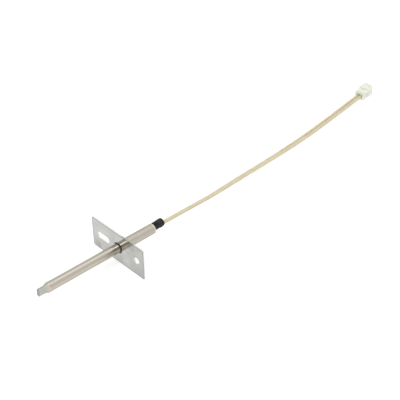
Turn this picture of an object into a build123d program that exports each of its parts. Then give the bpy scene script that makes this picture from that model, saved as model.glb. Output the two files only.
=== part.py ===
from build123d import *
import os
from math import cos, pi, radians, sin, tan

# A flange-mounted temperature probe: a stainless sheath tube with a pinched tip, an upright
# mounting flange, a rear sleeve, a heat-shrink sleeve and two insulated leads to a plug.
# The origin is on the probe's axis, at the flange's rear (seating) face. +X runs along the
# probe to its tip, +Z is up, and the part stands on a surface at the flange's lower edge.

# Mounting flange
FLANGE_LENGTH = 51.3
FLANGE_CENTRE_Y = -0.3
FLANGE_HEIGHT = 23.0
FLANGE_THICKNESS = 0.9
FLANGE_CORNER_RADIUS = 1.5
FLANGE_EDGE_ROUND = 0.12
SCREW_HOLE_RADIUS = 2.4
SCREW_HOLE_Y = 18.4
SLOT_CENTRE_Y = -14.8
SLOT_LENGTH = 12.0
SLOT_WIDTH = 5.0
SURFACE_Z = -FLANGE_HEIGHT / 2

# Sheath tube
SHEATH_RADIUS = 3.175
SHEATH_WALL = 0.4
NECK_RADIUS = 3.0
NECK_END_X = 1.6
SHEATH_REAR_X = -19.5
TIP_X = 63.4
SWELL_START_X = 51.5
SWELL_TOP_X = 55.8
SWELL_RADIUS = 3.33
CAVITY_END_X = 53.0
CAVITY_CONE_X = 54.6
BLADE_START_X = 59.7
BLADE_THICKNESS = 2.0
BLADE_HEIGHT = 5.2
BLADE_EDGE_ROUND = 0.4
PINCH_START_X = 55.2
TAPER_START_X = 56.4
SEAM_WIDTH = 0.16
SEAM_DEPTH = 0.25

# Rear sleeve, braze ring and plug
SLEEVE_RADIUS = 3.57
SLEEVE_BORE_RADIUS = 3.0
SLEEVE_REAR_X = -28.4
SLEEVE_RIM_ROUND = 0.15
BRAZE_RADIUS = 4.0
BRAZE_HEIGHT = 0.65
BRAZE_HOLLOW = 0.4
PLUG_REAR_X = -28.0
PLUG_FRONT_X = -20.0

# Heat-shrink sleeve over the two leads: a plain end inside the rear sleeve, and a bulging free
# end that the leads push up and to the -Y side
SHRINK_FIT_RADIUS = 2.6
SHRINK_MOUTH_RADIUS = 2.7
SHRINK_BULGE_RADIUS = 3.0
SHRINK_WAIST_RADIUS = 2.88
SHRINK_WAIST_X = -32.8
SHRINK_REAR_X = -37.0
SHRINK_FRONT_X = -21.5
SHRINK_OFFSET = 0.5
SHRINK_END_ROUND = 0.45

# Leads
LEAD_RADIUS = 1.2
CONDUCTOR_RADIUS = 0.45
LEAD_Y = 1.0
LEAD_Z = 0.7
JACKET_END_X = -17.5
CONDUCTOR_END_X = -12.2
ARC_SHARE = 0.45

# Crimp splices and their insulating sleeves
SPLICE_RADIUS = 0.8
SPLICE_REAR_X = -16.0
SPLICE_FRONT_X = -8.0
SPLICE_SLEEVE_RADIUS = 1.05
SPLICE_SLEEVE_REAR_X = -17.2
SPLICE_SLEEVE_FRONT_X = -7.0

# Sensing element, its leads, the two-bore insulator and the filling at the tip
ELEMENT_LEAD_RADIUS = 0.25
ELEMENT_LEAD_REAR_X = -11.8
INSULATOR_RADIUS = 2.5
INSULATOR_BORE_RADIUS = 0.35
INSULATOR_REAR_X = -6.0
INSULATOR_FRONT_X = 42.0
ELEMENT_RADIUS = 1.9
ELEMENT_REAR_X = 43.0
ELEMENT_FRONT_X = 51.5
ELEMENT_LEAD_DEPTH = 1.5

# Plug housing: its rear face is square to the leads where they enter it
PLUG_FACE = (-272.4, -24.9, -8.5)
PLUG_YAW = 8.3
PITCH = 2.5
HOUSING_LENGTH = 13.6
HOUSING_STEP = 6.5
HOUSING_REAR_WIDTH = 8.0
HOUSING_REAR_HEIGHT = 6.5
HOUSING_FRONT_WIDTH = 8.6
HOUSING_FRONT_HEIGHT = 7.4
HOUSING_ROUND = 0.35
CAVITY_WIDTH = 2.2
CAVITY_HEIGHT = 2.6
CAVITY_LENGTH = 12.8
ENTRY_WIDTH = 4.96
ENTRY_HEIGHT = 2.46
ENTRY_LENGTH = 3.2
CONTACT_OPENING = 1.2
LATCH_WIDTH = 4.6
LATCH_LENGTH = 4.5
LATCH_RISE = 1.1
RIB_WIDTH = 0.8
RIB_RISE = 0.45
TAIL_JACKET = 3.0
TAIL_CONDUCTOR = 6.6
BARREL_REAR = 4.2
BARREL_FRONT = 6.9
BARREL_RADIUS = 0.85
CONTACT_REAR = 7.6
CONTACT_FRONT = 12.6
CONTACT_WIDTH = 1.9
CONTACT_HEIGHT = 2.1
CONTACT_BORE = 1.1

# Routes of the two free leads, from the heat-shrink sleeve to the plug: straight out, down to
# the surface in a long sag with one lead above the other, then side by side along it.
LEAD_ROUTES = {
    "a": [
        (-37.0, 1.0, 0.7),
        (-55.5, 1.0, 0.7),
        (-82.5, -1.47, -2.4),
        (-111.5, -6.22, -5.8),
        (-140.5, -10.27, -8.45),
        (-169.5, -12.36, -9.6),
        (-197.5, -14.9, -10.3),
        (-223.5, -18.13, -10.3),
        (-245.5, -20.92, -9.9),
        (-260.51, -21.9, -8.5),
        (-272.58, -23.66, -8.5),
    ],
    "b": [
        (-37.0, -1.0, -0.7),
        (-55.5, -1.0, -0.7),
        (-82.5, -3.63, -3.6),
        (-111.5, -8.48, -6.8),
        (-140.5, -12.49, -9.55),
        (-169.5, -14.73, -10.3),
        (-197.5, -17.36, -10.3),
        (-223.5, -20.59, -10.3),
        (-245.5, -23.38, -9.9),
        (-260.15, -24.38, -8.5),
        (-272.22, -26.14, -8.5),
    ],
}
LEAD_SIDES = {"a": 1, "b": -1}

os.makedirs("parts", exist_ok=True)


def keep(builder, name):
    """Label a finished piece and write it."""
    builder.part.label = name
    export_step(builder.part, f"parts/{name}.step")


def section_plane(x):
    """The plane across the probe at x: its own x is the row's Y, its own y is the row's Z."""
    return Plane.YZ.offset(x)


def plug_plane(depth):
    """The plane across the plug, at a depth from its rear face: its own x is to the -Y side."""
    yaw = radians(PLUG_YAW)
    forward = Vector(-cos(yaw), -sin(yaw), 0)
    return Plane(
        origin=Vector(*PLUG_FACE) + forward * depth,
        x_dir=(sin(yaw), -cos(yaw), 0),
        z_dir=forward,
    )


# ---- Mounting flange: a stamped plate with a clearance hole, a slot and the sleeve's hole

with BuildPart() as mounting_flange:
    with BuildSketch(section_plane(0)) as flange_outline:
        with Locations((FLANGE_CENTRE_Y, 0)):
            RectangleRounded(FLANGE_LENGTH, FLANGE_HEIGHT, FLANGE_CORNER_RADIUS)
    extrude(amount=FLANGE_THICKNESS)
    fillet(faces().sort_by(Axis.X)[-1].edges(), FLANGE_EDGE_ROUND)
    with BuildSketch(section_plane(0)) as flange_openings:
        Circle(SLEEVE_RADIUS)
        with Locations((SCREW_HOLE_Y, 0)):
            Circle(SCREW_HOLE_RADIUS)
        with Locations((SLOT_CENTRE_Y, 0)):
            SlotOverall(SLOT_LENGTH, SLOT_WIDTH)
    extrude(amount=FLANGE_THICKNESS, mode=Mode.SUBTRACT)
keep(mounting_flange, "mounting_flange")

# ---- Sheath tube: drawn tube, necked down to fit the rear sleeve, its tip squeezed into an
# upright blade

with BuildPart() as sheath_tube:
    with BuildSketch(Plane.XY) as sheath_half_section:
        with BuildLine():
            Polyline(
                (TIP_X, 0),
                (SHEATH_REAR_X, 0),
                (SHEATH_REAR_X, NECK_RADIUS),
                (NECK_END_X, NECK_RADIUS),
                (NECK_END_X, SHEATH_RADIUS),
                (SWELL_START_X, SHEATH_RADIUS),
            )
            ThreePointArc(
                (SWELL_START_X, SHEATH_RADIUS),
                (SWELL_TOP_X, SWELL_RADIUS),
                (2 * SWELL_TOP_X - SWELL_START_X, SHEATH_RADIUS),
            )
            Polyline(
                (2 * SWELL_TOP_X - SWELL_START_X, SHEATH_RADIUS),
                (TIP_X, SHEATH_RADIUS),
                (TIP_X, 0),
            )
        make_face()
    revolve(axis=Axis.X)
    # Two dies squeeze it from the sides: a hollow shoulder runs out into a flat
    with BuildSketch(Plane.XY) as side_dies:
        with BuildLine():
            shoulder = TangentArc(
                (BLADE_START_X, BLADE_THICKNESS / 2),
                (PINCH_START_X, SWELL_RADIUS),
                tangent=(-1, 0),
            )
            Polyline(
                shoulder @ 1,
                (PINCH_START_X, 2 * SWELL_RADIUS),
                (TIP_X + 1, 2 * SWELL_RADIUS),
                (TIP_X + 1, BLADE_THICKNESS / 2),
                shoulder @ 0,
            )
        make_face()
        mirror(about=Plane.XZ)
    extrude(amount=2 * SWELL_RADIUS, both=True, mode=Mode.SUBTRACT)
    # The blade also narrows from above and below
    with BuildSketch(Plane.XZ) as edge_dies:
        with BuildLine():
            taper = TangentArc(
                (BLADE_START_X, BLADE_HEIGHT / 2),
                (TAPER_START_X, SWELL_RADIUS),
                tangent=(-1, 0),
            )
            Polyline(
                taper @ 1,
                (TAPER_START_X, 2 * SWELL_RADIUS),
                (TIP_X + 1, 2 * SWELL_RADIUS),
                (TIP_X + 1, BLADE_HEIGHT / 2),
                taper @ 0,
            )
        make_face()
        mirror(about=Plane.XZ)
    extrude(amount=2 * SWELL_RADIUS, both=True, mode=Mode.SUBTRACT)
    blade_edges = edges().filter_by(Axis.X).filter_by_position(Axis.X, BLADE_START_X, TIP_X)
    fillet(blade_edges, BLADE_EDGE_ROUND)
    # The bore, closed by a cone where the walls come together
    with BuildSketch(Plane.XY) as bore_half_section:
        with BuildLine():
            Polyline(
                (SHEATH_REAR_X, 0),
                (SHEATH_REAR_X, NECK_RADIUS - SHEATH_WALL),
                (NECK_END_X, NECK_RADIUS - SHEATH_WALL),
                (NECK_END_X + SHEATH_WALL, SHEATH_RADIUS - SHEATH_WALL),
                (CAVITY_END_X, SHEATH_RADIUS - SHEATH_WALL),
                (CAVITY_CONE_X, BLADE_THICKNESS / 2),
                (CAVITY_CONE_X, 0),
                close=True,
            )
        make_face()
    revolve(axis=Axis.X, mode=Mode.SUBTRACT)
    # The closed seam shows as a line across the tip's end
    with BuildSketch(section_plane(TIP_X)) as end_seam:
        Rectangle(SEAM_WIDTH, BLADE_HEIGHT - 4 * BLADE_EDGE_ROUND)
    extrude(amount=-SEAM_DEPTH, mode=Mode.SUBTRACT)
keep(sheath_tube, "sheath_tube")

# ---- Rear sleeve, slipped over the sheath and through the flange

with BuildPart() as rear_sleeve:
    with BuildSketch(section_plane(SLEEVE_REAR_X)) as sleeve_section:
        Circle(SLEEVE_RADIUS)
        Circle(SLEEVE_BORE_RADIUS, mode=Mode.SUBTRACT)
    extrude(amount=FLANGE_THICKNESS - SLEEVE_REAR_X)
    fillet(faces().sort_by(Axis.X)[0].edges(), SLEEVE_RIM_ROUND)
keep(rear_sleeve, "rear_sleeve")

# ---- Braze ring that joins sheath, sleeve and flange on the front face

braze_hollow_radius = NECK_RADIUS + BRAZE_HOLLOW * (BRAZE_RADIUS - NECK_RADIUS)

with BuildPart() as flange_braze_ring:
    with BuildSketch(Plane.XY) as braze_half_section:
        with BuildLine():
            Polyline(
                (FLANGE_THICKNESS, BRAZE_RADIUS),
                (FLANGE_THICKNESS, NECK_RADIUS),
                (FLANGE_THICKNESS + BRAZE_HEIGHT, NECK_RADIUS),
            )
            ThreePointArc(
                (FLANGE_THICKNESS + BRAZE_HEIGHT, NECK_RADIUS),
                (FLANGE_THICKNESS + BRAZE_HOLLOW * BRAZE_HEIGHT, braze_hollow_radius),
                (FLANGE_THICKNESS, BRAZE_RADIUS),
            )
        make_face()
    revolve(axis=Axis.X)
keep(flange_braze_ring, "flange_braze_ring")

# ---- Rear plug that seals the sleeve's mouth round the heat-shrink sleeve

with BuildPart() as rear_plug:
    with BuildSketch(section_plane(PLUG_REAR_X)) as plug_section:
        Circle(SLEEVE_BORE_RADIUS)
        Circle(SHRINK_FIT_RADIUS, mode=Mode.SUBTRACT)
    extrude(amount=PLUG_FRONT_X - PLUG_REAR_X)
keep(rear_plug, "rear_plug")

# ---- Heat-shrink sleeve, drawn down round both leads

shrink_plane = Plane(origin=(0, -SHRINK_OFFSET, SHRINK_OFFSET), z_dir=(0, 0, 1))

with BuildPart() as heat_shrink_sleeve:
    with BuildSketch(shrink_plane) as shrink_half_section:
        with BuildLine():
            Polyline(
                (SHRINK_REAR_X, SHRINK_WAIST_RADIUS),
                (SHRINK_REAR_X, 0),
                (SLEEVE_REAR_X, 0),
                (SLEEVE_REAR_X, SHRINK_MOUTH_RADIUS),
            )
            ThreePointArc(
                (SLEEVE_REAR_X, SHRINK_MOUTH_RADIUS),
                ((SLEEVE_REAR_X + SHRINK_WAIST_X) / 2, SHRINK_BULGE_RADIUS),
                (SHRINK_WAIST_X, SHRINK_WAIST_RADIUS),
            )
            ThreePointArc(
                (SHRINK_WAIST_X, SHRINK_WAIST_RADIUS),
                ((SHRINK_REAR_X + SHRINK_WAIST_X) / 2, SHRINK_BULGE_RADIUS),
                (SHRINK_REAR_X, SHRINK_WAIST_RADIUS),
            )
        make_face()
    revolve(axis=Axis(shrink_plane.origin, (1, 0, 0)))
    fillet(faces().sort_by(Axis.X)[0].edges(), SHRINK_END_ROUND)
    with BuildSketch(section_plane(SLEEVE_REAR_X)) as shrink_fit_section:
        Circle(SHRINK_FIT_RADIUS)
    extrude(amount=SHRINK_FRONT_X - SLEEVE_REAR_X)
    with BuildSketch(section_plane(SHRINK_REAR_X)) as shrink_bores:
        with Locations((LEAD_Y, LEAD_Z), (-LEAD_Y, -LEAD_Z)):
            Circle(LEAD_RADIUS)
    extrude(amount=SHRINK_FRONT_X - SHRINK_REAR_X, mode=Mode.SUBTRACT)
keep(heat_shrink_sleeve, "heat_shrink_sleeve")

# ---- Inside the sheath: sensing element, filling and two-bore insulator

with BuildPart() as sensing_element:
    with BuildSketch(section_plane(ELEMENT_REAR_X)) as element_section:
        Circle(ELEMENT_RADIUS)
    extrude(amount=ELEMENT_FRONT_X - ELEMENT_REAR_X)
    fillet(faces().sort_by(Axis.X)[-1].edges(), ELEMENT_RADIUS / 2)
    with BuildSketch(section_plane(ELEMENT_REAR_X)) as element_sockets:
        with Locations((LEAD_Y, LEAD_Z), (-LEAD_Y, -LEAD_Z)):
            Circle(ELEMENT_LEAD_RADIUS)
    extrude(amount=ELEMENT_LEAD_DEPTH, mode=Mode.SUBTRACT)
keep(sensing_element, "sensing_element")

with BuildPart() as tip_filling:
    with BuildSketch(section_plane(ELEMENT_REAR_X)) as filling_section:
        Circle(SHEATH_RADIUS - SHEATH_WALL)
    extrude(amount=CAVITY_END_X - ELEMENT_REAR_X)
    with BuildSketch(section_plane(ELEMENT_REAR_X)) as filling_hollow:
        Circle(ELEMENT_RADIUS)
    extrude(amount=ELEMENT_FRONT_X - ELEMENT_REAR_X, mode=Mode.SUBTRACT)
keep(tip_filling, "tip_filling")

with BuildPart() as ceramic_insulator:
    with BuildSketch(section_plane(INSULATOR_REAR_X)) as insulator_section:
        Circle(INSULATOR_RADIUS)
        with Locations((LEAD_Y, LEAD_Z), (-LEAD_Y, -LEAD_Z)):
            Circle(INSULATOR_BORE_RADIUS, mode=Mode.SUBTRACT)
    extrude(amount=INSULATOR_FRONT_X - INSULATOR_REAR_X)
keep(ceramic_insulator, "ceramic_insulator")


# ---- What each of the two circuits has


def make_element_lead(side, name):
    """A bare wire from the splice, through the insulator, into the element."""
    with BuildPart() as element_lead:
        with BuildSketch(section_plane(ELEMENT_LEAD_REAR_X)):
            with Locations((side * LEAD_Y, side * LEAD_Z)):
                Circle(ELEMENT_LEAD_RADIUS)
        extrude(amount=ELEMENT_REAR_X + ELEMENT_LEAD_DEPTH - ELEMENT_LEAD_REAR_X)
    keep(element_lead, name)


def make_splice(side, name):
    """A crimp barrel: a wide bore for the lead's conductor, a narrow one for the element's wire."""
    with BuildPart() as splice:
        with BuildSketch(section_plane(SPLICE_REAR_X)):
            with Locations((side * LEAD_Y, side * LEAD_Z)):
                Circle(SPLICE_RADIUS)
        extrude(amount=SPLICE_FRONT_X - SPLICE_REAR_X)
        with BuildSketch(section_plane(SPLICE_REAR_X)):
            with Locations((side * LEAD_Y, side * LEAD_Z)):
                Circle(CONDUCTOR_RADIUS)
        extrude(amount=CONDUCTOR_END_X - SPLICE_REAR_X, mode=Mode.SUBTRACT)
        with BuildSketch(section_plane(SPLICE_FRONT_X)):
            with Locations((side * LEAD_Y, side * LEAD_Z)):
                Circle(ELEMENT_LEAD_RADIUS)
        extrude(amount=ELEMENT_LEAD_REAR_X - SPLICE_FRONT_X, mode=Mode.SUBTRACT)
    keep(splice, name)


def make_splice_sleeve(side, name):
    """The insulating sleeve pushed over a splice."""
    with BuildPart() as splice_sleeve:
        with BuildSketch(section_plane(SPLICE_SLEEVE_REAR_X)):
            with Locations((side * LEAD_Y, side * LEAD_Z)):
                Circle(SPLICE_SLEEVE_RADIUS)
                Circle(SPLICE_RADIUS, mode=Mode.SUBTRACT)
        extrude(amount=SPLICE_SLEEVE_FRONT_X - SPLICE_SLEEVE_REAR_X)
    keep(splice_sleeve, name)


def make_probe_end(side, name):
    """The lead's stretch inside the heat-shrink sleeve and the probe, stripped at its end."""
    with BuildPart() as probe_end:
        with BuildSketch(section_plane(SHRINK_REAR_X)):
            with Locations((side * LEAD_Y, side * LEAD_Z)):
                Circle(LEAD_RADIUS)
        extrude(amount=JACKET_END_X - SHRINK_REAR_X)
        with BuildSketch(section_plane(JACKET_END_X)):
            with Locations((side * LEAD_Y, side * LEAD_Z)):
                Circle(CONDUCTOR_RADIUS)
        extrude(amount=CONDUCTOR_END_X - JACKET_END_X)
    keep(probe_end, name)


def corner_radii(route):
    """One radius for each inner point of a route: as large as its two runs allow."""
    points = [Vector(*point) for point in route]
    radii = []
    for before, corner, after in zip(points, points[1:], points[2:]):
        run_in = corner - before
        run_out = after - corner
        half_turn = radians(run_in.get_angle(run_out)) / 2
        radii.append(ARC_SHARE * min(run_in.length, run_out.length) / tan(half_turn))
    return radii


def make_free_lead(route, name):
    """The lead's free stretch: a round tube along straight runs joined by tangent arcs."""
    radii = corner_radii(route)
    with BuildPart() as free_lead:
        with BuildLine():
            centreline = FilletPolyline(*route, radius=radii)
        with BuildSketch(Plane(origin=centreline @ 0, z_dir=centreline % 0)):
            Circle(LEAD_RADIUS)
        sweep(path=centreline)
    straight_volume = pi * LEAD_RADIUS**2 * centreline.length
    print(name, "arc radii, mm:", ", ".join(f"{radius:.0f}" for radius in radii))
    print(name, f"length {centreline.length:.1f} mm")
    print(name, f"volume over section x length {free_lead.part.volume / straight_volume:.4f}")
    keep(free_lead, name)


def make_plug_end(side, name):
    """The lead's stretch inside the plug, stripped where the contact is crimped on."""
    with BuildPart() as plug_end:
        with BuildSketch(plug_plane(0)):
            with Locations((-side * PITCH / 2, 0)):
                Circle(LEAD_RADIUS)
        extrude(amount=TAIL_JACKET)
        with BuildSketch(plug_plane(TAIL_JACKET)):
            with Locations((-side * PITCH / 2, 0)):
                Circle(CONDUCTOR_RADIUS)
        extrude(amount=TAIL_CONDUCTOR - TAIL_JACKET)
    keep(plug_end, name)


def make_contact(side, name):
    """A crimp contact: a barrel on the conductor, a neck and a square box for the mating pin."""
    with BuildPart() as contact:
        with BuildSketch(plug_plane(BARREL_REAR)):
            with Locations((-side * PITCH / 2, 0)):
                Circle(BARREL_RADIUS)
        extrude(amount=BARREL_FRONT - BARREL_REAR)
        with BuildSketch(plug_plane(BARREL_FRONT)):
            with Locations((-side * PITCH / 2, 0)):
                Rectangle(CONTACT_BORE, CONTACT_BORE)
        extrude(amount=CONTACT_REAR - BARREL_FRONT)
        with BuildSketch(plug_plane(CONTACT_REAR)):
            with Locations((-side * PITCH / 2, 0)):
                Rectangle(CONTACT_WIDTH, CONTACT_HEIGHT)
        extrude(amount=CONTACT_FRONT - CONTACT_REAR)
        with BuildSketch(plug_plane(BARREL_REAR)):
            with Locations((-side * PITCH / 2, 0)):
                Circle(CONDUCTOR_RADIUS)
        extrude(amount=TAIL_CONDUCTOR - BARREL_REAR, mode=Mode.SUBTRACT)
        with BuildSketch(plug_plane(CONTACT_FRONT)):
            with Locations((-side * PITCH / 2, 0)):
                Rectangle(CONTACT_BORE, CONTACT_BORE)
        extrude(amount=CONTACT_REAR - CONTACT_FRONT + 0.5, mode=Mode.SUBTRACT)
    keep(contact, name)


for letter, side in LEAD_SIDES.items():
    make_element_lead(side, f"element_lead_{letter}")
    make_splice(side, f"crimp_splice_{letter}")
    make_splice_sleeve(side, f"splice_sleeve_{letter}")
    make_probe_end(side, f"lead_wire_{letter}_probe_end")
    make_free_lead(LEAD_ROUTES[letter], f"lead_wire_{letter}")
    make_plug_end(side, f"lead_wire_{letter}_plug_end")
    make_contact(side, f"contact_terminal_{letter}")

# ---- Plug housing: a stepped body with two cavities, a locking ledge and two side ribs

housing_floor = SURFACE_Z - PLUG_FACE[2]
rear_middle = housing_floor + HOUSING_REAR_HEIGHT / 2
front_middle = housing_floor + HOUSING_FRONT_HEIGHT / 2
front_top = housing_floor + HOUSING_FRONT_HEIGHT

with BuildPart() as connector_housing:
    with BuildSketch(plug_plane(0)) as housing_rear:
        with Locations((0, rear_middle)):
            RectangleRounded(HOUSING_REAR_WIDTH, HOUSING_REAR_HEIGHT, HOUSING_ROUND)
    extrude(amount=HOUSING_STEP)
    with BuildSketch(plug_plane(HOUSING_STEP)) as housing_front:
        with Locations((0, front_middle)):
            RectangleRounded(HOUSING_FRONT_WIDTH, HOUSING_FRONT_HEIGHT, HOUSING_ROUND)
    extrude(amount=HOUSING_LENGTH - HOUSING_STEP)
    # Side ribs on the rear half
    with BuildSketch(plug_plane(1.2)) as side_ribs:
        with Locations((0, rear_middle)):
            Rectangle(HOUSING_REAR_WIDTH + 2 * RIB_RISE, RIB_WIDTH)
    extrude(amount=HOUSING_STEP - 1.2)
    # Locking ledge on top: a ramp that rises to the front face
    with BuildSketch(plug_plane(HOUSING_LENGTH - LATCH_LENGTH)) as ledge_low_end:
        with Locations((0, front_top - 0.1)):
            Rectangle(LATCH_WIDTH, 0.2)
    with BuildSketch(plug_plane(HOUSING_LENGTH)) as ledge_high_end:
        with Locations((0, front_top + (LATCH_RISE - 0.2) / 2)):
            Rectangle(LATCH_WIDTH, LATCH_RISE + 0.2)
    loft()
    # An entry for both jackets, then cavities for the contacts and openings for the mating pins
    with BuildSketch(plug_plane(0)) as jacket_entry:
        Rectangle(ENTRY_WIDTH, ENTRY_HEIGHT)
    extrude(amount=ENTRY_LENGTH, mode=Mode.SUBTRACT)
    with BuildSketch(plug_plane(0)) as contact_cavities:
        with Locations((-PITCH / 2, 0), (PITCH / 2, 0)):
            Rectangle(CAVITY_WIDTH, CAVITY_HEIGHT)
    extrude(amount=CAVITY_LENGTH, mode=Mode.SUBTRACT)
    with BuildSketch(plug_plane(CAVITY_LENGTH)) as pin_openings:
        with Locations((-PITCH / 2, 0), (PITCH / 2, 0)):
            Rectangle(CONTACT_OPENING, CONTACT_OPENING)
    extrude(amount=HOUSING_LENGTH - CAVITY_LENGTH, mode=Mode.SUBTRACT)
keep(connector_housing, "connector_housing")
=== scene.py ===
import math

import bpy
from mathutils import Matrix, Vector


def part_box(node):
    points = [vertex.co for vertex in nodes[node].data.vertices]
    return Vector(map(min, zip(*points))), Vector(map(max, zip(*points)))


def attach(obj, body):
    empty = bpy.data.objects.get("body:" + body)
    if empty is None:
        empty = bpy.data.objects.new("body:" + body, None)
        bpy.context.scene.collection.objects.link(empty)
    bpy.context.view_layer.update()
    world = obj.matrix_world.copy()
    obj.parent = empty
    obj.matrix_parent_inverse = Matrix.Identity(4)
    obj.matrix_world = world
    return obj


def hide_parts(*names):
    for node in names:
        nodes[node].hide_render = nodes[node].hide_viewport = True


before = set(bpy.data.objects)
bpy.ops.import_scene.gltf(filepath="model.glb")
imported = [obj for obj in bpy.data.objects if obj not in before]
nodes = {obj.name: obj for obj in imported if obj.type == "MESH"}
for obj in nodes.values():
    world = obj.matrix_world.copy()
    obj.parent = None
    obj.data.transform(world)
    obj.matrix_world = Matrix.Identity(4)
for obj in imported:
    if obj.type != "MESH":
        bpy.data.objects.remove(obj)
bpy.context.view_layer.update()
scene = bpy.context.scene

FLOOR_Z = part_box("mounting_flange")[0].z


# ---- Camera: the photograph's viewing angle

def aim_camera(target, distance, azimuth, elevation, roll, lens, shift):
    """A camera that looks at target from that side; azimuth 0 looks along +Y and 90 along -X."""
    a, e = math.radians(azimuth), math.radians(elevation)
    back = Vector((math.sin(a) * math.cos(e), -math.cos(a) * math.cos(e), math.sin(e)))
    data = bpy.data.cameras.new("camera")
    data.sensor_width = 36.0
    data.lens = lens
    data.shift_x, data.shift_y = shift
    data.clip_start, data.clip_end = 0.01, 50.0
    camera = bpy.data.objects.new("camera", data)
    scene.collection.objects.link(camera)
    turn = (-back).to_track_quat("-Z", "Y").to_matrix().to_4x4()
    spin = Matrix.Rotation(math.radians(roll), 4, "Z")
    camera.matrix_world = Matrix.Translation(Vector(target) + back * distance) @ turn @ spin
    scene.camera = camera


aim_camera(
    target=(-0.07226, -0.0008, 0.0),
    distance=0.66526,
    azimuth=137.0,
    elevation=35.91,
    roll=-0.67,
    lens=88.07,
    shift=(-0.00125, 0.00125),
)


# ---- Leads: the same routes as the CAD's, in metres

LEAD_DIAMETER = 0.0024
LEAD_ROUTES = {
    "a": [
        (-0.0370, 0.0010, 0.0007),
        (-0.0555, 0.0010, 0.0007),
        (-0.0825, -0.00147, -0.0024),
        (-0.1115, -0.00622, -0.0058),
        (-0.1405, -0.01027, -0.00845),
        (-0.1695, -0.01236, -0.0096),
        (-0.1975, -0.0149, -0.0103),
        (-0.2235, -0.01813, -0.0103),
        (-0.2455, -0.02092, -0.0099),
        (-0.26051, -0.0219, -0.0085),
        (-0.27258, -0.02366, -0.0085),
    ],
    "b": [
        (-0.0370, -0.0010, -0.0007),
        (-0.0555, -0.0010, -0.0007),
        (-0.0825, -0.00363, -0.0036),
        (-0.1115, -0.00848, -0.0068),
        (-0.1405, -0.01249, -0.00955),
        (-0.1695, -0.01473, -0.0103),
        (-0.1975, -0.01736, -0.0103),
        (-0.2235, -0.02059, -0.0103),
        (-0.2455, -0.02338, -0.0099),
        (-0.26015, -0.02438, -0.0085),
        (-0.27222, -0.02614, -0.0085),
    ],
}
LEAD_SIDES = 32


def centreline(route):
    """The points down the middle of the route's NURBS spline."""
    curve = bpy.data.curves.new("route", "CURVE")
    curve.dimensions = "3D"
    spline = curve.splines.new("NURBS")
    spline.points.add(len(route) - 1)
    for point, place in zip(spline.points, route):
        point.co = (*place, 1.0)
    spline.order_u = 3
    spline.use_endpoint_u = True
    spline.resolution_u = 40
    carrier = bpy.data.objects.new("route", curve)
    mesh = bpy.data.meshes.new_from_object(carrier)
    points = [vertex.co.copy() for vertex in mesh.vertices]
    bpy.data.objects.remove(carrier)
    bpy.data.curves.remove(curve)
    bpy.data.meshes.remove(mesh)
    return points


def tube_mesh(name, points, radius, sides):
    """A tube round a line. Its UV map holds metres along the line and turns round it."""
    last = len(points) - 1
    rings, along = [], [0.0]
    for i, point in enumerate(points):
        forward = (points[min(i + 1, last)] - points[max(i - 1, 0)]).normalized()
        side = forward.cross(Vector((0, 0, 1))).normalized()
        up = side.cross(forward)
        if i:
            along.append(along[-1] + (point - points[i - 1]).length)
        for k in range(sides):
            turn = math.tau * k / sides
            rings.append(point + (side * math.cos(turn) + up * math.sin(turn)) * radius)
    faces, places = [], []
    for i in range(last):
        for k in range(sides):
            near, far = i * sides, (i + 1) * sides
            after = (k + 1) % sides
            faces.append((near + k, far + k, far + after, near + after))
            turns = (k / sides, (k + 1) / sides)
            places += [
                (along[i], turns[0]),
                (along[i + 1], turns[0]),
                (along[i + 1], turns[1]),
                (along[i], turns[1]),
            ]
    ends = (tuple(range(sides)), tuple(reversed(range(last * sides, (last + 1) * sides))))
    places += [(along[i // sides], 0.0) for end in ends for i in end]
    mesh = bpy.data.meshes.new(name)
    mesh.from_pydata(rings, [], [*faces, *ends])
    layer = mesh.uv_layers.new(name="along_round")
    for loop, place in zip(layer.uv, places):
        loop.vector = place
    mesh.polygons.foreach_set("use_smooth", [True] * len(mesh.polygons))
    return mesh


def place_piece(name, mesh, node):
    """A piece of the object that stands for a CAD node."""
    piece = bpy.data.objects.new(name, mesh)
    scene.collection.objects.link(piece)
    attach(piece, "root")
    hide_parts(node)
    return piece


lead_lines = {letter: centreline(route) for letter, route in LEAD_ROUTES.items()}
leads = {
    letter: place_piece(
        f"lead_{letter}_braid",
        tube_mesh(f"lead_{letter}_braid", line, LEAD_DIAMETER / 2, LEAD_SIDES),
        f"lead_wire_{letter}",
    )
    for letter, line in lead_lines.items()
}


# ---- Heat-shrink sleeve: drawn down unevenly, with soft bulges and a rolled lip

# Radius, and how far the skin's axis is off the probe's in y and in z, in metres
SHRINK_INSIDE = (0.00258, 0.00010)  # in the rear sleeve
SHRINK_ROOT = (0.00270, 0.00045)  # where it comes out of the rear sleeve
SHRINK_END = (0.00295, 0.000625)  # at its free end

# Heights of what makes it uneven, in metres
SHRINK_BULGE = 0.00012  # two soft swellings along the free stretch
SHRINK_OVAL = 0.00006  # out of round towards the free end
SHRINK_DENT = 0.00008  # shallow dents that wind round it
SHRINK_RING = 0.00003  # fine rings
SHRINK_LIP = 0.00022  # the last twentieth of the free stretch narrows

SHRINK_SHORT = 0.0001  # how far the skin stops short of the CAD sleeve's free end
SHRINK_CAP = [(0.0003, 0.8), (0.0005, 0.5)]  # rings that turn in: distance back, share of radius


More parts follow.
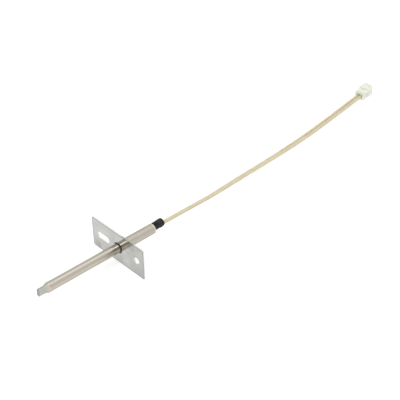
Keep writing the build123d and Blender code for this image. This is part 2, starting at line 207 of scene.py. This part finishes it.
def shrink_mesh(name, sides=72, rings=96):
    """A closed skin from inside the rear sleeve to the free end, round the x axis."""
    low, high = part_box("heat_shrink_sleeve")
    mouth_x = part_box("rear_sleeve")[0].x
    end_x = low.x + SHRINK_SHORT
    stations = [(high.x + (end_x - high.x) * i / rings, 1.0) for i in range(rings + 1)]
    stations += [(end_x + back, share) for back, share in SHRINK_CAP]
    places, faces = [], []
    for x, inset in stations:
        free = max(0.0, (mouth_x - x) / (mouth_x - end_x))
        ease = free * free * (3 - 2 * free)
        radius, offset = SHRINK_INSIDE
        if free:
            radius, offset = (a + (b - a) * ease for a, b in zip(SHRINK_ROOT, SHRINK_END))
        bulge = SHRINK_BULGE * math.sin(free * math.tau) ** 2
        lip = SHRINK_LIP * max(0.0, (free - 0.95) / 0.05) ** 2
        for k in range(sides):
            turn = math.tau * k / sides
            oval = SHRINK_OVAL * ease * math.cos(2 * (turn - 0.6))
            dent = SHRINK_DENT * ease * math.sin(3 * turn + 9 * free) * math.sin(5 * free + 1)
            wave = math.sin(46 * free + 0.9 * math.sin(2 * turn))
            ring = SHRINK_RING * wave * min(1.0, 4 * free)
            reach = (radius + bulge + oval + dent + ring - lip) * inset
            places.append((x, reach * math.cos(turn) - offset, reach * math.sin(turn) + offset))
    for i in range(len(stations) - 1):
        for k in range(sides):
            near, far = i * sides, (i + 1) * sides
            after = (k + 1) % sides
            faces.append((near + k, near + after, far + after, far + k))
    last = (len(stations) - 1) * sides
    faces += [tuple(reversed(range(sides))), tuple(range(last, last + sides))]
    mesh = bpy.data.meshes.new(name)
    mesh.from_pydata(places, [], faces)
    mesh.polygons.foreach_set("use_smooth", [True] * len(mesh.polygons))
    return mesh


shrink = place_piece(
    "heat_shrink_skin", shrink_mesh("heat_shrink_skin"), "heat_shrink_sleeve"
)


# ---- Materials: every one is made of nodes, in the row frame's own coordinates

class Surface:
    """A Principled material with a few helpers, so that each finish below reads as a list.

    It starts from plain values, and the finish then varies some of them with nodes.
    """

    def __init__(self, name, colour, metallic, roughness, **sockets):
        self.material = bpy.data.materials.new(name)
        self.material.use_nodes = True
        self.tree = self.material.node_tree
        self.shader = self.tree.nodes["Principled BSDF"]
        self.place = self.tree.nodes.new("ShaderNodeTexCoord").outputs["Object"]
        self.normal = None
        self.put(self.shader.inputs["Base Color"], colour)
        self.put(self.shader.inputs["Metallic"], metallic)
        self.put(self.shader.inputs["Roughness"], roughness)
        for socket, value in sockets.items():
            self.put(self.shader.inputs[socket.replace("_", " ")], value)

    def put(self, socket, value):
        """Link an output to a socket, or set its value."""
        if isinstance(value, bpy.types.NodeSocket):
            self.tree.links.new(value, socket)
        elif socket.type == "RGBA":
            socket.default_value = (*value, 1.0)
        else:
            socket.default_value = value

    def add(self, kind, inputs, out=0, **settings):
        """A node with its settings and inputs; gives one of its outputs."""
        node = self.tree.nodes.new(f"ShaderNode{kind}")
        for name, value in settings.items():
            setattr(node, name, value)
        for name, value in inputs.items():
            self.put(node.inputs[name], value)
        return node.outputs[out]

    def scaled(self, x, y, z, turn=(0.0, 0.0, 0.0)):
        """The row frame's coordinates, stretched: a pattern then repeats x, y, z times a metre."""
        return self.add("Mapping", {"Vector": self.place, "Scale": (x, y, z), "Rotation": turn})

    def noise(self, vector, detail=4.0, rough=0.55, distortion=0.0):
        """Noise over a vector that is already stretched to the wanted size."""
        inputs = {
            "Vector": vector,
            "Scale": 1.0,
            "Detail": detail,
            "Roughness": rough,
            "Distortion": distortion,
        }
        return self.add("TexNoise", inputs)

    def span(self, value, low, high, start=0.0, end=1.0):
        """value's range from low to high, brought to start and end, and held there outside it."""
        inputs = {
            "Value": value,
            "From Min": low,
            "From Max": high,
            "To Min": start,
            "To Max": end,
        }
        return self.add("MapRange", inputs, interpolation_type="SMOOTHSTEP")

    def math(self, operation, a, b=0.0):
        return self.add("Math", {0: a, 1: b}, operation=operation)

    def mix(self, share, a, b):
        """Colour a, and colour b by share."""
        return self.add("Mix", {0: share, 6: a, 7: b}, out=2, data_type="RGBA")

    def near(self, value, centre, reach, core):
        """1 where value is within core of centre, and 0 where it is reach or more from it."""
        gap = self.math("ABSOLUTE", self.math("SUBTRACT", value, centre))
        return self.span(gap, reach, core)

    def part(self, vector, letter):
        """A vector's X, Y or Z."""
        return self.add("SeparateXYZ", {0: vector}, out=letter)

    def axis(self, letter):
        """The row frame's X, Y or Z, in metres."""
        return self.part(self.place, letter)

    def colour(self, value):
        self.put(self.shader.inputs["Base Color"], value)

    def roughness(self, value):
        self.put(self.shader.inputs["Roughness"], value)

    def bump(self, height, metres):
        """Raise the surface by height times that many metres, on top of what it has already."""
        inputs = {"Height": height, "Distance": metres, "Strength": 1.0}
        if self.normal is not None:
            inputs["Normal"] = self.normal
        self.normal = self.add("Bump", inputs)
        self.put(self.shader.inputs["Normal"], self.normal)


# Where one finish of the tube fades into the next, in metres
BLADE_FADE = (0.0079, 0.0039)  # back from the tip: tube to blade
DARK_END_FADE = (0.0008, 0.0002)  # back from the tip: blade to its darker end
POLISH_FADE = (0.0130, 0.0040)  # ahead of the flange's rear face: satin to polished
STRAW_FADE = (0.0035, 0.0012)  # ahead of the flange's rear face: plain to straw-tinted
RIM_HIGHLIGHT_FADE = (0.0009, 0.0004)  # ahead of the rear sleeve's mouth: satin to a painted highlight


def drawn_steel():
    """Satin stainless tube with long draw lines and cloudy patches.

    The blade at the tip is greyer, and the metal ahead of the braze is polished and a little
    straw-tinted. The rear sleeve is duller, with a painted highlight on the rim at its mouth.
    """
    s = Surface("drawn_steel", (0.50, 0.47, 0.41), 1.0, 0.3, Specular_Tint=(0.62, 0.60, 0.56))
    x = s.axis("X")
    tip_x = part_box("sheath_tube")[1].x
    mouth_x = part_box("rear_sleeve")[0].x
    lines = s.noise(s.scaled(45, 4200, 4200), detail=3.0)
    clouds = s.noise(s.scaled(55, 160, 160), detail=3.0)
    warm = s.mix(s.span(clouds, 0.3, 0.7), (0.52, 0.475, 0.40), (0.56, 0.525, 0.46))
    lined = s.mix(s.span(lines, 0.35, 0.65), warm, (0.50, 0.465, 0.40))
    blade = s.mix(s.span(clouds, 0.35, 0.65), (0.42, 0.42, 0.395), (0.48, 0.48, 0.44))
    # The blade's very end is darker.
    dark_end = s.span(x, tip_x - DARK_END_FADE[0], tip_x - DARK_END_FADE[1])
    blade_with_dark_end = s.mix(dark_end, blade, (0.36, 0.36, 0.355))
    tipped = s.mix(s.span(x, tip_x - BLADE_FADE[0], tip_x - BLADE_FADE[1]), lined, blade_with_dark_end)
    ahead = s.span(x, -0.004, 0.001)
    straw = s.math("MULTIPLY", s.span(x, *STRAW_FADE), ahead)
    tinted = s.mix(s.math("MULTIPLY", straw, 0.25), tipped, (0.42, 0.30, 0.19))
    # Painted highlight: the rim at the rear sleeve's mouth gets a light colour.
    rim = s.span(x, mouth_x + RIM_HIGHLIGHT_FADE[0], mouth_x + RIM_HIGHLIGHT_FADE[1])
    s.colour(s.mix(rim, tinted, (0.74, 0.73, 0.68)))
    satin = s.span(lines, 0.3, 0.7, 0.24, 0.36)
    polish = s.math("MULTIPLY", s.span(x, *POLISH_FADE), ahead)
    smooth = s.math("SUBTRACT", satin, s.math("MULTIPLY", polish, 0.12))
    sleeve_dulling = s.span(x, 0.0, -0.001, 0.0, 0.20)
    s.roughness(s.math("ADD", smooth, sleeve_dulling))
    s.bump(lines, 0.000012)
    return s.material


# Painted light and shade on the flange, two darker patches and one lighter one:
# centre y and z, reach in metres, strength, colour
PAINTED_FLANGE_LIGHT_AND_SHADE = [
    (-0.0210, -0.0090, 0.0045, 0.8, (0.37, 0.35, 0.30)),
    (0.0133, 0.0085, 0.0045, 0.6, (0.37, 0.35, 0.30)),
    (0.0080, -0.0035, 0.0055, 0.6, (0.66, 0.66, 0.63)),
]
PAINTED_SHADE_STRETCH = (0.010, 0.0075, 0.0050)  # painted shade on the top edge: centre y, reach and core, in metres


def sheet_steel():
    """Polished stainless sheet with fine scratches, haze and three patches of painted shading.

    It has painted shade towards the lower corner at the round hole, and along its rolled rim.
    The cut edges are bright, partly as cut metal and partly as a painted highlight;
    a stretch of the top one has painted shade.
    """
    s = Surface("sheet_steel", (0.58, 0.59, 0.57), 1.0, 0.14)
    y, z = s.axis("Y"), s.axis("Z")
    low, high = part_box("mounting_flange")
    grain = s.noise(s.scaled(3000, 70, 4500), detail=2.0)
    haze = s.noise(s.scaled(90, 90, 130), detail=4.0, distortion=0.6)
    scuffs = s.noise(s.scaled(300, 1600, 260, turn=(0.5, 0.0, 0.0)), detail=2.0)
    hazy = s.mix(s.span(haze, 0.35, 0.65), (0.475, 0.48, 0.46), (0.54, 0.545, 0.515))
    # Painted shade: darker towards the lower corner at the round hole.
    painted_shade_low_corner = s.span(s.math("SUBTRACT", y, z), 0.012, 0.034, 0.0, 0.8)
    face = s.mix(painted_shade_low_corner, hazy, (0.40, 0.40, 0.375))
    # Painted light and shade: two darker patches and one lighter one.
    for centre_y, centre_z, reach, share, colour in PAINTED_FLANGE_LIGHT_AND_SHADE:
        core = 0.4 * reach
        near_y, near_z = s.near(y, centre_y, reach, core), s.near(z, centre_z, reach, core)
        spot = s.math("MULTIPLY", near_y, near_z)
        face = s.mix(s.math("MULTIPLY", spot, share), face, colour)
    # Painted shade: a darker band along the flange's rim.
    gap_y = s.math("MINIMUM", s.math("SUBTRACT", y, low.y), s.math("SUBTRACT", high.y, y))
    gap_z = s.math("MINIMUM", s.math("SUBTRACT", z, low.z), s.math("SUBTRACT", high.z, z))
    rim = s.span(s.math("MINIMUM", gap_y, gap_z), 0.0014, 0.0004)
    rolled = s.mix(rim, face, (0.33, 0.33, 0.315))
    scratched = s.mix(s.span(grain, 0.4, 0.75), rolled, (0.42, 0.425, 0.41))
    # Cut edges: bright as cut metal, and partly a painted highlight.
    across = s.math("ABSOLUTE", s.part(s.add("TexCoord", {}, out="Normal"), "X"))
    sheared = s.span(across, 0.9, 0.5)
    # Painted shade on a stretch of the top edge.
    top = s.span(z, high.z - 0.0010, high.z - 0.0003)
    painted_shade_top = s.math("MULTIPLY", s.near(y, *PAINTED_SHADE_STRETCH), top)
    edge = s.mix(painted_shade_top, (0.80, 0.80, 0.78), (0.46, 0.45, 0.42))
    s.colour(s.mix(sheared, scratched, edge))
    dull = s.math("ADD", s.span(haze, 0.35, 0.7, 0.10, 0.17), s.span(scuffs, 0.6, 0.75, 0.0, 0.10))
    s.roughness(s.math("ADD", dull, s.math("MULTIPLY", sheared, 0.3)))
    s.bump(grain, 0.000008)
    s.bump(haze, 0.00004)
    return s.material


def oxidised_braze():
    """Dark, glossy, scaly braze with a few brown spots."""
    s = Surface("oxidised_braze", (0.05, 0.04, 0.035), 0.8, 0.4)
    scale = s.noise(s.scaled(1500, 1500, 1500), detail=5.0)
    s.colour(s.mix(s.span(scale, 0.50, 0.68), (0.030, 0.027, 0.025), (0.17, 0.13, 0.09)))
    s.roughness(s.span(scale, 0.3, 0.7, 0.24, 0.14))
    s.bump(scale, 0.00003)
    return s.material


def shrink_tube():
    """Satin black heat-shrink with soft blotches, folds, fine rings and a little dust."""
    s = Surface("shrink_tube", (0.010, 0.010, 0.010), 0.0, 0.42, Specular_IOR_Level=0.20)
    rings = s.noise(s.scaled(900, 160, 160), detail=3.0)
    folds = s.noise(s.scaled(260, 420, 420), detail=1.0, distortion=0.8)
    dust = s.noise(s.scaled(700, 700, 700), detail=4.0)
    blotches = s.noise(s.scaled(420, 420, 420), detail=1.0, rough=0.4)
    black = s.mix(s.span(blotches, 0.4, 0.62), (0.002, 0.002, 0.002), (0.022, 0.022, 0.020))
    s.colour(s.mix(s.span(dust, 0.5, 0.8), black, (0.034, 0.033, 0.030)))
    s.roughness(s.span(dust, 0.3, 0.7, 0.36, 0.52))
    s.bump(folds, 0.0007)
    s.bump(rings, 0.00012)
    return s.material


def potting():
    """Matte pale silicone in the sleeve's mouth."""
    s = Surface("potting", (0.6, 0.57, 0.5), 0.0, 0.7)
    lumps = s.noise(s.scaled(900, 900, 900), detail=4.0)
    s.colour(s.mix(s.span(lumps, 0.3, 0.7), (0.55, 0.52, 0.45), (0.66, 0.63, 0.56)))
    s.bump(lumps, 0.0001)
    return s.material


def white_ceramic():
    """Unglazed white ceramic with a fine grain."""
    s = Surface("white_ceramic", (0.8, 0.78, 0.73), 0.0, 0.6)
    grain = s.noise(s.scaled(2500, 2500, 2500), detail=4.0)
    s.colour(s.mix(s.span(grain, 0.35, 0.7), (0.82, 0.80, 0.75), (0.72, 0.69, 0.63)))
    s.bump(grain, 0.00003)
    return s.material


def packed_powder():
    """Packed mineral powder, coarse and quite matte."""
    s = Surface("packed_powder", (0.7, 0.68, 0.62), 0.0, 0.9)
    grain = s.noise(s.scaled(4000, 4000, 4000), detail=5.0, rough=0.7)
    s.colour(s.mix(s.span(grain, 0.3, 0.7), (0.62, 0.60, 0.54), (0.76, 0.74, 0.69)))
    s.bump(grain, 0.00008)
    return s.material


def nickel_wire():
    """Bare drawn wire with fine lines along it."""
    s = Surface("nickel_wire", (0.6, 0.57, 0.51), 1.0, 0.3)
    lines = s.noise(s.scaled(80, 9000, 9000), detail=2.0)
    s.colour(s.mix(lines, (0.62, 0.59, 0.53), (0.52, 0.49, 0.43)))
    s.roughness(s.span(lines, 0.3, 0.7, 0.22, 0.38))
    return s.material


def tin_plate():
    """Tin-plated contact metal with a soft mottled bloom."""
    s = Surface("tin_plate", (0.66, 0.65, 0.62), 1.0, 0.35)
    bloom = s.noise(s.scaled(1300, 1300, 1300), detail=3.0)
    s.colour(s.mix(s.span(bloom, 0.35, 0.65), (0.60, 0.59, 0.56), (0.72, 0.71, 0.68)))
    s.roughness(s.span(bloom, 0.3, 0.7, 0.28, 0.42))
    return s.material


STRANDS_AROUND = 8
STRANDS_PER_METRE = 950.0


def glass_braid():
    """Varnished glass braid: two sets of strands that wind opposite ways round the lead."""
    s = Surface("glass_braid", (0.72, 0.64, 0.43), 0.0, 0.5)
    along_round = s.add("UVMap", {}, uv_map="along_round")
    along = s.math("MULTIPLY", s.part(along_round, "X"), STRANDS_PER_METRE)
    around = s.math("MULTIPLY", s.part(along_round, "Y"), STRANDS_AROUND)
    right = s.math("ADD", around, along)
    left = s.math("SUBTRACT", around, along)
    cells = s.math("ADD", s.math("FLOOR", right), s.math("FLOOR", left))
    over = s.math("PINGPONG", cells, 1.0)
    crowns = [
        s.math("ABSOLUTE", s.math("SINE", s.math("MULTIPLY", phase, math.pi)))
        for phase in (right, left)
    ]
    height = s.math(
        "ADD",
        s.math("MULTIPLY", crowns[0], over),
        s.math("MULTIPLY", crowns[1], s.math("SUBTRACT", 1.0, over)),
    )
    patches = s.noise(s.scaled(120, 300, 300), detail=3.0)
    fibres = s.noise(s.scaled(2500, 6000, 6000), detail=3.0)
    yarn = s.mix(s.span(patches, 0.3, 0.7), (0.71, 0.635, 0.435), (0.65, 0.575, 0.39))
    # Painted shade: the gaps between the strands are darker.
    s.colour(s.mix(s.span(height, 0.5, 0.0), yarn, (0.54, 0.465, 0.30)))
    s.roughness(s.span(height, 0.0, 1.0, 0.62, 0.42))
    s.bump(height, 0.00010)
    s.bump(fibres, 0.00004)
    return s.material


def ivory_nylon():
    """Natural nylon moulding: ivory, slightly cloudy, a fine spark-eroded grain."""
    s = Surface(
        "ivory_nylon",
        (0.72, 0.735, 0.63),
        0.0,
        0.42,
        Subsurface_Weight=0.25,
        Subsurface_Radius=(0.9, 0.9, 0.7),
        Subsurface_Scale=0.0012,
    )
    cloud = s.noise(s.scaled(260, 260, 260), detail=3.0)
    grain = s.noise(s.scaled(5000, 5000, 5000), detail=2.0)
    s.colour(s.mix(s.span(cloud, 0.3, 0.7), (0.71, 0.725, 0.62), (0.76, 0.775, 0.68)))
    s.roughness(s.span(grain, 0.3, 0.7, 0.38, 0.5))
    s.bump(grain, 0.00002)
    return s.material


FINISHES = {
    "sheath_steel": drawn_steel(),
    "flange_steel": sheet_steel(),
    "braze": oxidised_braze(),
    "seal": potting(),
    "heat_shrink": shrink_tube(),
    "ceramic": white_ceramic(),
    "filling": packed_powder(),
    "nickel_wire": nickel_wire(),
    "plated_crimp": tin_plate(),
    "lead_jacket": glass_braid(),
    "plug_nylon": ivory_nylon(),
}

for node in nodes.values():
    for material_slot in node.material_slots:
        material_slot.material = FINISHES[material_slot.material.name]

shrink.data.materials.append(FINISHES["heat_shrink"])
for letter, lead in leads.items():
    lead.data.materials.append(FINISHES["lead_jacket"])


# ---- Studio: a glowing white table in a white tent, with a softbox and a small, strong key
# ---- light overhead, and a darker opening where the photograph's camera stood

FLOOR_WHITE = 0.40
FLOOR_GLOW = 0.72
FLOOR_REACH = 4.0
TENT = 0.92

# Each light lies on a ceiling one unit above the part: its strength, its centre in x and y, how far
# it is at full strength from there, and how far away it has faded out
SOFTBOX = {"strength": 0.55, "centre": (0.0, 0.0), "full": (1.2, 0.204), "out": (1.8, 0.476)}
KEY = {"strength": 3.2, "centre": (0.66, 0.24), "full": (0.3, 0.16), "out": (0.45, 0.26)}
LEAST_HEIGHT = 0.05  # a direction's z is never taken as less than this

OPENING = 0.55  # share of the tent's light that the opening still gives
OPENING_TOWARDS = (0.552, 0.592, 0.587)  # where it lies, seen from the part
OPENING_SIZE = 26  # degrees from its middle to its edge
OPENING_BLUR = 0.05  # half the width of its soft edge, as a cosine


def lay_floor():
    """The table: plain, white and matte, and lit from below so that it hardly takes a shadow."""
    reach = FLOOR_REACH
    corners = [(-reach, -reach), (reach, -reach), (reach, reach), (-reach, reach)]
    mesh = bpy.data.meshes.new("floor")
    mesh.from_pydata([(x, y, FLOOR_Z) for x, y in corners], [], [(0, 1, 2, 3)])
    floor = bpy.data.objects.new("floor", mesh)
    scene.collection.objects.link(floor)
    glass = Surface(
        "light_table",
        (0.5, 0.5, 0.5),
        0.0,
        0.9,
        Specular_IOR_Level=0.1,
        Emission_Color=(1.0, 1.0, 1.0),
        Emission_Strength=FLOOR_GLOW,
    )
    tooth = glass.noise(glass.scaled(400, 400, 400))
    glass.colour(glass.mix(tooth, (FLOOR_WHITE - 0.01,) * 3, (FLOOR_WHITE,) * 3))
    mesh.materials.append(glass.material)


def light_world():
    """The tent, its two lights overhead and its opening, all fixed in the row frame."""
    world = bpy.data.worlds.new("tent")
    world.use_nodes = True
    tree = world.node_tree
    background = tree.nodes["Background"]
    direction = tree.nodes.new("ShaderNodeTexCoord").outputs["Generated"]
    split = tree.nodes.new("ShaderNodeSeparateXYZ")
    tree.links.new(direction, split.inputs[0])

    def math_node(operation, *values):
        node = tree.nodes.new("ShaderNodeMath")
        node.operation = operation
        for socket, value in zip(node.inputs, values):
            if isinstance(value, bpy.types.NodeSocket):
                tree.links.new(value, socket)
            else:
                socket.default_value = value
        return node.outputs[0]

    def ramp(value, low, high, start, end):
        node = tree.nodes.new("ShaderNodeMapRange")
        node.interpolation_type = "SMOOTHSTEP"
        tree.links.new(value, node.inputs["Value"])
        settings = (("From Min", low), ("From Max", high), ("To Min", start), ("To Max", end))
        for name, number in settings:
            node.inputs[name].default_value = number
        return node.outputs[0]

    height = math_node("MAXIMUM", split.outputs[2], LEAST_HEIGHT)
    ceiling = [math_node("DIVIDE", split.outputs[axis], height) for axis in (0, 1)]

    def overhead(strength, centre, full, out):
        """A light on the ceiling, with soft edges."""
        shares = []
        for place, middle, inner, outer in zip(ceiling, centre, full, out):
            gap = math_node("ABSOLUTE", math_node("SUBTRACT", place, middle))
            shares.append(ramp(gap, inner, outer, 1.0, 0.0))
        return math_node("MULTIPLY", math_node("MULTIPLY", *shares), strength)

    facing = tree.nodes.new("ShaderNodeVectorMath")
    facing.operation = "DOT_PRODUCT"
    tree.links.new(direction, facing.inputs[0])
    facing.inputs[1].default_value = OPENING_TOWARDS
    edge = math.cos(math.radians(OPENING_SIZE))
    opening = ramp(
        facing.outputs["Value"], edge - OPENING_BLUR, edge + OPENING_BLUR, 1.0, OPENING
    )
    lights = math_node("ADD", overhead(**SOFTBOX), overhead(**KEY))
    strength = math_node("MULTIPLY", math_node("ADD", lights, TENT), opening)
    background.inputs["Color"].default_value = (1.0, 1.0, 1.0, 1.0)
    tree.links.new(strength, background.inputs["Strength"])
    scene.world = world


lay_floor()
light_world()

scene.view_settings.view_transform = "Standard"
scene.view_settings.look = "None"
